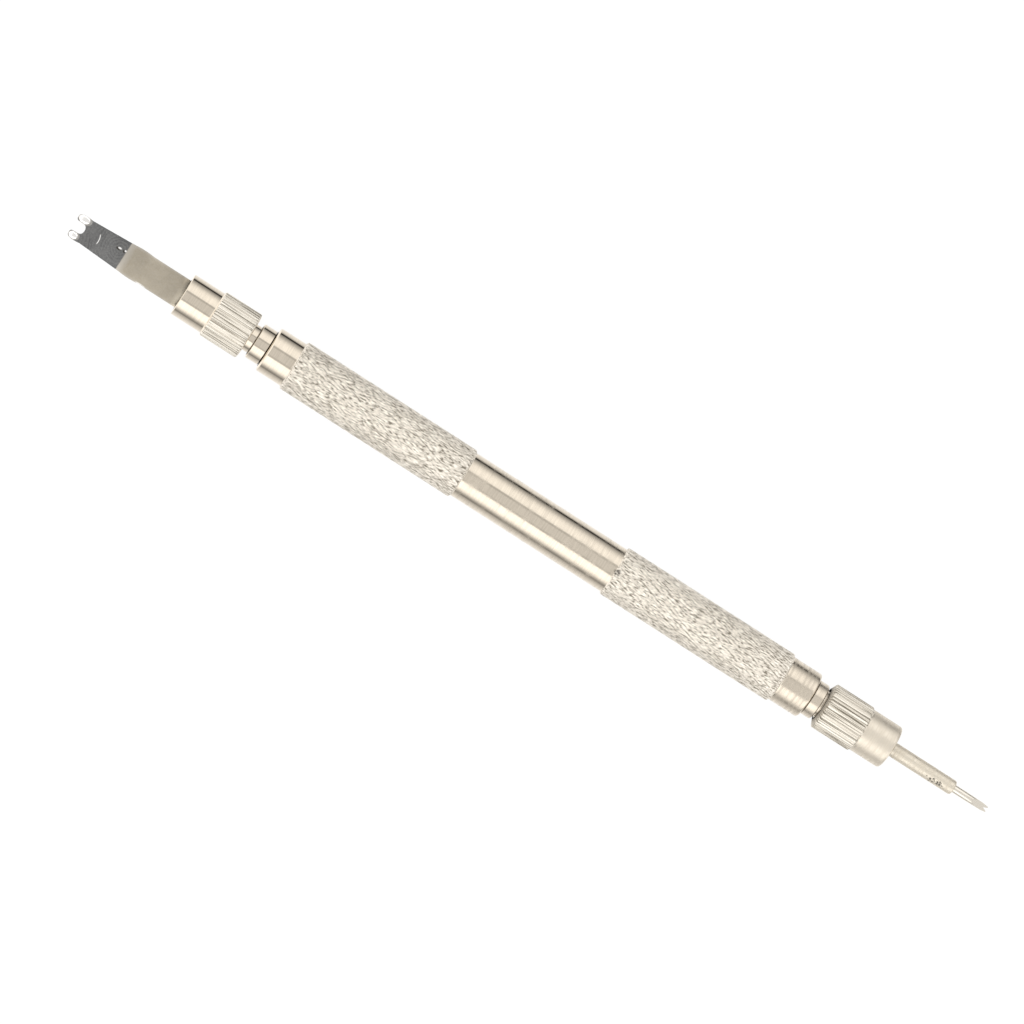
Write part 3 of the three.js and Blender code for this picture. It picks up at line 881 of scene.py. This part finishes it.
def blade_half_thickness(from_tip, y):
    """Half the blade's thickness: ground to a wedge, with domed tine heads."""
    if from_tip > BLADE_SHOULDER:
        return TANG_HALF_THICKNESS
    share = min(1.0, max(0.0, from_tip / GRIND_END))
    half = TIP_HALF_THICKNESS + (BLADE_HALF_THICKNESS - TIP_HALF_THICKNESS) * share
    head_at, head_y, head_along, head_across = TINE_HEADS[0] if y > 0 else TINE_HEADS[1]
    away = math.hypot((from_tip - head_at) / head_along, (y - head_y) / head_across)
    dome = 0.14
    moat = 0.07
    moat_width = 0.3
    if away < 1 + moat_width:
        half += dome * (1 - min(1.0, away) ** 2)
        half -= moat * max(0.0, 1 - abs(away - 1.0) / moat_width)
    return half


def make_fork_blade(material):
    upper = blade_half_outline()
    lower = [(x, -y) for x, y in reversed(upper[1:])]
    outline = [(FORK_TIP + x, y) for x, y in upper + lower]
    piece = prism("fork_blade_ground", outline, "xy", 2.0)
    mesh = piece.data
    grid = bmesh.new()
    grid.from_mesh(mesh)
    step = 0.1
    fine_length = 2.6
    fine_cuts = [step * k for k in range(1, 26)]
    coarse_cuts = [3.5, 5.0, 6.5, GRIND_END, 9.4, 12.0, 15.0, BLADE_SHOULDER]
    for x in fine_cuts + coarse_cuts:
        slice_mesh(grid, ((FORK_TIP + x) * MM, 0, 0), (1, 0, 0))
    for k in range(-18, 19):
        slice_mesh(grid, (0, step * k * MM, 0), (0, 1, 0), (FORK_TIP + fine_length) * MM)
    for vertex in grid.verts:
        half = blade_half_thickness(vertex.co.x / MM - FORK_TIP, vertex.co.y / MM)
        vertex.co.z = math.copysign(half * MM, vertex.co.z)
    grid.to_mesh(mesh)
    grid.free()
    round_edges(piece, 0.07, angle=50)
    smooth_by_angle(piece, 25)
    finish_piece(piece, "fork_tip", "fork_blade", material)


PLATE = (0.465, 0.408, 0.315)
PALE_PLATE = (0.56, 0.52, 0.46)
# The colour of the painted light on the blade beside the nut.
LIT_PLATE = (0.80, 0.72, 0.58)
GROUND = (0.225, 0.223, 0.217)
DARK_GROUND = (0.115, 0.115, 0.115)
# Bright polished metal, also the colour of painted highlights.
POLISH_AND_GLINT = (0.97, 0.95, 0.92)
HEAD_OUTLINE = (0.42, 0.4, 0.37)
GROUND_EDGE = FORK_TIP + GRIND_END


def plated_body(nodes, mottle, speckle):
    """Mottled plate, paler along its edges and its ground end, with painted light beside the nut and a
    painted highlight on its lower edge.
    """
    body = nodes.blend(nodes.between(mottle, 0.0, 1.0), PLATE, tuple(0.84 * c for c in PLATE))
    body = nodes.blend(nodes.between(speckle, 0.0, 0.4), body, PALE_PLATE)
    strip = nodes.between(nodes.x, 1.0, 0.0, GROUND_EDGE + 0.3, GROUND_EDGE + 1.0)
    body = nodes.blend(nodes.math("MULTIPLY", strip, 0.75), body, PALE_PLATE)
    beside = nodes.math("ABSOLUTE", nodes.y)
    edge = nodes.between(beside, 0.0, 0.5, BLADE_HALF - 0.3, BLADE_HALF - 0.02)
    body = nodes.blend(edge, body, PALE_PLATE)
    # Painted light beside the nut, which offsets the shade that the nut casts on the blade.
    nut_front = FORK_FACE - fork_end.nut_front
    beside_nut = nodes.between(nodes.x, 0.0, 0.75, nut_front - 0.9, nut_front - 0.2)
    body = nodes.blend(beside_nut, body, LIT_PLATE)
    # A painted highlight along the blade's lower edge.
    glint_distance = nodes.away((GROUND_EDGE + 3.7, -1.95), (0.8, 0.14))
    edge_glint = nodes.between(glint_distance, 1.0, 0.0, 0.6, 1.1)
    edge_glint = nodes.math("MULTIPLY", edge_glint, nodes.between(speckle, 0.4, 1.0))
    return nodes.blend(edge_glint, body, POLISH_AND_GLINT)


def ground_end(nodes, mottle, speckle, lines):
    """Bare steel with the grinding wheel's rings, darker along its edges."""
    arcs = nodes.math("MULTIPLY", nodes.math("ADD", lines, 0.5), nodes.between(mottle, 0.0, 0.55))
    arcs = nodes.math("ADD", arcs, nodes.between(speckle, 0.0, 0.7, 0.35, 0.75), clamp=True)
    bare = nodes.blend(arcs, GROUND, DARK_GROUND)
    beside = nodes.math("ABSOLUTE", nodes.y)
    rim = nodes.between(beside, 0.0, 0.7, BLADE_HALF - 0.45, BLADE_HALF - 0.1)
    return nodes.blend(rim, bare, DARK_GROUND)


def with_nick_glints_and_shadows(nodes, base):
    """Two nicks where the grinding stops, each painted as a bright highlight with a painted shadow to
    one side.
    """
    long_nick = ((GROUND_EDGE - 0.95, 0.6), (0.28, 0.13))
    round_nick = ((GROUND_EDGE - 0.14, 0.66), (0.15, 0.14))
    shift = 0.12
    for (x, y), (along, across) in (long_nick, round_nick):
        # The painted shadow beside each nick, then its painted highlight.
        shade = nodes.away((x - shift, y - shift), (along * 1.5, across * 1.6))
        base = nodes.blend(nodes.between(shade, 0.85, 0.0, 0.6, 1.1), base, SHADE_AND_GRIME)
        spot = nodes.away((x, y), (along, across))
        base = nodes.blend(nodes.between(spot, 1.0, 0.0, 0.7, 1.1), base, POLISH_AND_GLINT)
    return base


def with_crescent(nodes, base):
    """A thin bright scratch, part of a circle, across the ground end."""
    radius = 1.9
    arc = nodes.away((GROUND_EDGE - 3.75 - radius, -0.2), (radius, radius))
    off_arc = nodes.math("ABSOLUTE", nodes.math("SUBTRACT", arc, 1.0))
    on_arc = nodes.between(off_arc, 1.0, 0.0, 0.015, 0.04)
    nearby = nodes.away((GROUND_EDGE - 3.8, 0.1), (0.5, 0.75))
    crescent = nodes.math("MULTIPLY", on_arc, nodes.between(nearby, 1.0, 0.0, 0.7, 1.0))
    return nodes.blend(crescent, base, POLISH_AND_GLINT)


def blade_metal(name):
    """Dull nickel plate on the body, bare dark steel where the end is ground, bright tine heads."""
    material, nodes = new_material(name)
    mottle = nodes.noise(0.8, 4.0, 0.6)
    speckle = nodes.noise(5.0, 3.0, 0.7)
    ring_spacing = 0.065
    swirl = nodes.away((GROUND_EDGE - 0.9, 0.5), (ring_spacing, ring_spacing))
    wander = nodes.math("ADD", swirl, nodes.math("MULTIPLY", mottle, 14.0))
    lines = nodes.math("MULTIPLY", nodes.math("SINE", wander), 0.5)

    body = plated_body(nodes, mottle, speckle)
    bare = ground_end(nodes, mottle, speckle, lines)
    is_ground = nodes.between(nodes.x, 1.0, 0.0, GROUND_EDGE - 0.06, GROUND_EDGE + 0.06)
    base = nodes.blend(is_ground, body, bare)
    rough = nodes.between(is_ground, 0.36, 0.42, 0.0, 1.0)
    for head_at, head_y, head_along, head_across in TINE_HEADS:
        away = nodes.away((FORK_TIP + head_at, head_y), (head_along, head_across))
        is_rim = nodes.between(away, 1.0, 0.0, 1.0, 1.35)
        is_head = nodes.between(away, 1.0, 0.0, 0.8, 1.0)
        base = nodes.blend(is_rim, base, HEAD_OUTLINE)
        base = nodes.blend(is_head, base, POLISH_AND_GLINT)
        rough = nodes.between(is_rim, rough, 0.16, 0.0, 1.0)
    base = with_nick_glints_and_shadows(nodes, base)
    base = with_crescent(nodes, base)

    nodes.set("Base Color", base)
    nodes.set("Metallic", 1.0)
    nodes.set("Roughness", rough)
    grain = nodes.math("ADD", speckle, nodes.math("MULTIPLY", lines, 0.15))
    nodes.set("Normal", nodes.bump(grain, 0.3, 0.02))
    return material


# ---------------------------------------------------------------- the shanks and the pin


def make_fork_shank(material):
    into_pocket = 0.15
    behind_mouth = 5.4
    front = fork_end.nut_front - NUT_POCKET_DEPTH + into_pocket
    rear = fork_end.mouth - behind_mouth
    edge = 0.2
    outline = soften([
        (rear, 0), (rear, SHANK_RADIUS - edge), (rear + edge, SHANK_RADIUS),
        (front, SHANK_RADIUS), (front, 0),
    ], 0.05)
    piece = make_object("fork_shank_slotted", *turned(fork_end.at(outline), 96))
    slot = 0.35
    slot_end, slot_open = (FORK_FACE - out for out in (front - TANG_LENGTH, front + 1))
    corners = [(slot_open, -slot), (slot_end, -slot), (slot_end, slot), (slot_open, slot)]
    cut(piece, prism("slot", corners, "xz", 4))
    smooth_by_angle(piece)
    finish_piece(piece, "fork_tip", "fork_shank", material)


def rod_pits():
    """Corrosion pits in the plating along one side of the rod, near its nose."""
    draw = np.random.default_rng(5)
    return [
        (PIN_TIP - 9.1 + 2.4 * draw.random(), 90 + draw.normal(33, 12), 0.08 + 0.12 * draw.random())
        for _ in range(20)
    ]


def make_pin_rod(material):
    rear, nose = span("pin_rod")
    hole = 0.6
    hole_depth = 6.0
    nose_round = 0.4
    edge = 0.2
    pitted_length = 5
    outline = [(rear, 0), (rear, SHANK_RADIUS - edge), (rear + edge, SHANK_RADIUS)]
    outline += [(nose - pitted_length, SHANK_RADIUS), (nose - nose_round, SHANK_RADIUS)]
    outline += curve((nose - nose_round, SHANK_RADIUS), (nose, SHANK_RADIUS), (nose, hole), steps=8)
    outline += [(nose - hole_depth, hole), (nose - hole_depth, 0)]
    outline = divide(soften(outline, 0.04), 0.06, nose - pitted_length, nose)

    def pitted(x, angle, r):
        return np.where(r > 0.9, r - 0.05 * spots(x, angle, SHANK_RADIUS, rod_pits()), r)

    # Dirt in the corrosion pits, and painted shade inside the hole in the nose.
    def shade_and_grime(x, angle, r):
        pits = spots(x, angle, SHANK_RADIUS, rod_pits()) * (r > 0.8)
        joint = np.where((r < hole + 0.02) & (x > nose - hole_depth - 0.1), 1.0, 0.0)
        return np.maximum(pits, joint)

    piece = make_object("pin_rod_turned", *turned(outline, 160, pitted))
    paint(piece, "shade_and_grime", shade_and_grime)
    finish_piece(piece, "pin_tip", "pin_rod", material)


def make_fine_fork_pin(material):
    foot, tip = span("fine_fork_pin")
    radius = widest("fine_fork_pin")
    outline = soften([
        (foot, 0), (foot, radius - 0.1), (foot + 0.1, radius), (tip - 3.6, radius),
        (tip - 2.0, radius - 0.02), (tip - 0.8, radius - 0.04), (tip, radius - 0.15), (tip, 0),
    ], 0.04)
    piece = make_object("fine_fork_pin_ground", *turned(outline, 64))
    flat = 0.2
    sides = [
        (foot - 1, -1), (tip - 2.6, -0.6), (tip - 1.5, -flat), (tip + 1, -flat),
        (tip + 1, flat), (tip - 1.5, flat), (tip - 2.6, 0.6), (foot - 1, 1),
    ]
    cut(piece, prism("flats", sides, "xz", 4), "INTERSECT")
    notch = [(tip - 0.55, 0), (tip + 0.2, -0.34), (tip + 0.2, 0.34)]
    cut(piece, prism("notch", notch, "xy", 2))
    smooth_by_angle(piece, 30)
    finish_piece(piece, "pin_tip", "fine_fork_pin", material)


# ---------------------------------------------------------------- studio


def make_floor():
    """A glowing white sheet under the tool, with a little matt paint in it to take a faint shadow."""
    low_z = cad_low.z
    size = 3.0
    corners = [(-size, -size, low_z), (size, -size, low_z), (size, size, low_z), (-size, size, low_z)]
    mesh = bpy.data.meshes.new("floor")
    mesh.from_pydata(corners, [], [(0, 1, 2, 3)])
    floor = bpy.data.objects.new("floor", mesh)
    bpy.context.scene.collection.objects.link(floor)
    material = bpy.data.materials.new("pale_floor")
    material.use_nodes = True
    tree = material.node_tree
    tree.nodes.clear()
    glow = tree.nodes.new("ShaderNodeEmission")
    glow.inputs["Color"].default_value = (1, 1, 1, 1)
    glow.inputs["Strength"].default_value = 1.03
    matt = tree.nodes.new("ShaderNodeBsdfDiffuse")
    matt.inputs["Color"].default_value = (0.9, 0.9, 0.9, 1)
    mix = tree.nodes.new("ShaderNodeMixShader")
    mix.inputs[0].default_value = 0.12
    output = tree.nodes.new("ShaderNodeOutputMaterial")
    tree.links.new(glow.outputs[0], mix.inputs[1])
    tree.links.new(matt.outputs[0], mix.inputs[2])
    tree.links.new(mix.outputs[0], output.inputs["Surface"])
    mesh.materials.append(material)
    floor.visible_glossy = False


# The brightness of the studio round the tool's long axis, as (degrees from straight up, light).
# Positive degrees turn towards +Y. Two long softboxes stand either side of a dimmer gap, the one
# at -Y brighter, and a thin dark edge lies beyond each of them, low down.
STUDIO_RING = [
    (-180, 1.12), (-147, 1.12), (-125, 0.96), (-112, 0.76), (-103, 0.60), (-97, 0.30), (-91, 0.40),
    (-82, 0.72), (-72, 1.25), (-60, 1.66), (-45, 1.74), (-31, 1.64), (-26, 0.70), (-21, 0.68),
    (-17, 0.84), (17, 0.84), (21, 0.64), (26, 0.62), (31, 1.28), (45, 1.34), (60, 1.28), (72, 1.06),
    (82, 0.74), (92, 0.50), (99, 0.28), (101, 0.05), (110, 0.05), (113, 0.50), (123, 0.96),
    (147, 1.12), (180, 1.12),
]
BRIGHTEST = max(light for _, light in STUDIO_RING)
FORK_WALL_LIGHT = 1.4


def ring_brightness(tree, axes):
    """The studio ring's light, looked up by the direction's angle round the tool's long axis."""
    angle = tree.nodes.new("ShaderNodeMath")
    angle.operation = "ARCTAN2"
    tree.links.new(axes.outputs["Y"], angle.inputs[0])
    tree.links.new(axes.outputs["Z"], angle.inputs[1])
    share = tree.nodes.new("ShaderNodeMath")
    share.operation = "MULTIPLY_ADD"
    share.inputs[1].default_value = 1 / (2 * math.pi)
    share.inputs[2].default_value = 0.5
    tree.links.new(angle.outputs[0], share.inputs[0])
    ramp = tree.nodes.new("ShaderNodeValToRGB")
    stops = ramp.color_ramp.elements
    while len(stops) < len(STUDIO_RING):
        stops.new(0.5)
    for stop, (degrees, light) in zip(stops, STUDIO_RING):
        stop.position = degrees / 360 + 0.5
        grey = light / BRIGHTEST
        stop.color = (grey, grey, grey, 1)
    tree.links.new(share.outputs[0], ramp.inputs[0])
    return ramp.outputs["Color"]


def with_fork_wall(tree, axes, ring):
    """The ring's light, fading into an even bright wall beyond the fork end."""
    towards_fork = tree.nodes.new("ShaderNodeMapRange")
    towards_fork.inputs["From Min"].default_value = -0.2
    towards_fork.inputs["From Max"].default_value = -0.5
    tree.links.new(axes.outputs["X"], towards_fork.inputs["Value"])
    grey = FORK_WALL_LIGHT / BRIGHTEST
    lit = tree.nodes.new("ShaderNodeMix")
    lit.data_type = "RGBA"
    lit.inputs[7].default_value = (grey, grey, grey, 1)
    tree.links.new(towards_fork.outputs["Result"], lit.inputs[0])
    tree.links.new(ring, lit.inputs[6])
    return lit.outputs[2]


def make_world():
    """White paper for the camera, and the studio for everything that the metal reflects."""
    world = bpy.data.worlds.new("studio")
    bpy.context.scene.world = world
    world.use_nodes = True
    tree = world.node_tree
    tree.nodes.clear()
    direction = tree.nodes.new("ShaderNodeTexCoord").outputs["Generated"]
    axes = tree.nodes.new("ShaderNodeSeparateXYZ")
    tree.links.new(direction, axes.inputs[0])
    studio = tree.nodes.new("ShaderNodeBackground")
    studio.inputs["Strength"].default_value = BRIGHTEST
    light = with_fork_wall(tree, axes, ring_brightness(tree, axes))
    tree.links.new(light, studio.inputs["Color"])
    paper = tree.nodes.new("ShaderNodeBackground")
    paper.inputs["Color"].default_value = (1, 1, 1, 1)
    paper.inputs["Strength"].default_value = 1.0
    path = tree.nodes.new("ShaderNodeLightPath")
    mix = tree.nodes.new("ShaderNodeMixShader")
    output = tree.nodes.new("ShaderNodeOutputWorld")
    tree.links.new(path.outputs["Is Camera Ray"], mix.inputs[0])
    tree.links.new(studio.outputs[0], mix.inputs[1])
    tree.links.new(paper.outputs[0], mix.inputs[2])
    tree.links.new(mix.outputs[0], output.inputs["Surface"])


def make_soft_lamp():
    lamp = bpy.data.lights.new("overhead", "AREA")
    lamp.shape = "RECTANGLE"
    lamp.size = 0.6
    lamp.size_y = 0.6
    lamp.energy = 1.5
    holder = bpy.data.objects.new("overhead", lamp)
    holder.location = (0.0, 0.0, 0.8)
    holder.visible_glossy = False
    bpy.context.scene.collection.objects.link(holder)


def make_camera():
    """A long lens above the tool, tipped towards the fork, with the tool lying down to the right."""
    target = Vector((-2.78, -0.74, 0)) * MM
    distance = 0.8
    tip = math.radians(4.65)
    turn = math.radians(32.675)
    back = Vector((-math.sin(tip), 0, math.cos(tip)))
    along = Vector((math.cos(tip), 0, math.sin(tip)))
    across = Vector((0, 1, 0))
    right = along * math.cos(turn) + across * math.sin(turn)
    up = -along * math.sin(turn) + across * math.cos(turn)
    data = bpy.data.cameras.new("camera")
    data.sensor_width = 36
    data.lens = 218.7
    data.clip_start = 0.01
    data.clip_end = 10
    camera = bpy.data.objects.new("camera", data)
    axes = Matrix((right, up, back)).transposed().to_4x4()
    camera.matrix_world = Matrix.Translation(target + back * distance) @ axes
    bpy.context.scene.collection.objects.link(camera)
    bpy.context.scene.camera = camera


# ---------------------------------------------------------------- the scene

WARM_NICKEL = (0.795, 0.705, 0.58)
SOFT_NICKEL = (0.80, 0.725, 0.61)
ROD_NICKEL = (0.785, 0.715, 0.60)
PIN_NICKEL = (0.87, 0.81, 0.71)
FERRULE_LAND = (0.80, 0.74, 0.64)
GRIP_LAND = (0.79, 0.725, 0.63)
SATIN_LAND = (0.78, 0.715, 0.61)
LONG_STROKE = 0.015

bright_nickel = plated_metal("bright_nickel", WARM_NICKEL, 0.12, land=FERRULE_LAND, stroke=LONG_STROKE)
knurled_nickel = plated_metal("knurled_nickel", WARM_NICKEL, 0.13, land=GRIP_LAND)
satin_nickel = plated_metal(
    "satin_nickel", SOFT_NICKEL, 0.21, land=SATIN_LAND, stroke=LONG_STROKE, marks=0.08
)
rod_nickel = plated_metal("rod_nickel", ROD_NICKEL, 0.24, land=ROD_NICKEL, marks=0.06)
pin_nickel = plated_metal("pin_nickel", PIN_NICKEL, 0.12, land=ROD_NICKEL, marks=0.06)
spring_steel = spring_metal("spring_steel", (0.5, 0.5, 0.49), 0.3)
blade_steel = blade_metal("blade_steel")

make_camera()
make_world()
make_soft_lamp()
make_floor()
make_handle(knurled_nickel)
for end in (fork_end, pin_end):
    make_stud(end, bright_nickel)
    make_collet(end, spring_steel)
make_nut(
    fork_end, bright_nickel,
    rear_radius=3.05, rear_cone=0.2, nose_round=0.12, pocket=True, seed=31,
)
make_nut(
    pin_end, satin_nickel,
    rear_radius=2.35, rear_cone=0.46, nose_round=0.35, pocket=False, seed=41,
)
make_fork_blade(blade_steel)
make_fork_shank(spring_steel)
make_pin_rod(rod_nickel)
make_fine_fork_pin(pin_nickel)

bpy.context.scene.view_settings.view_transform = "Standard"
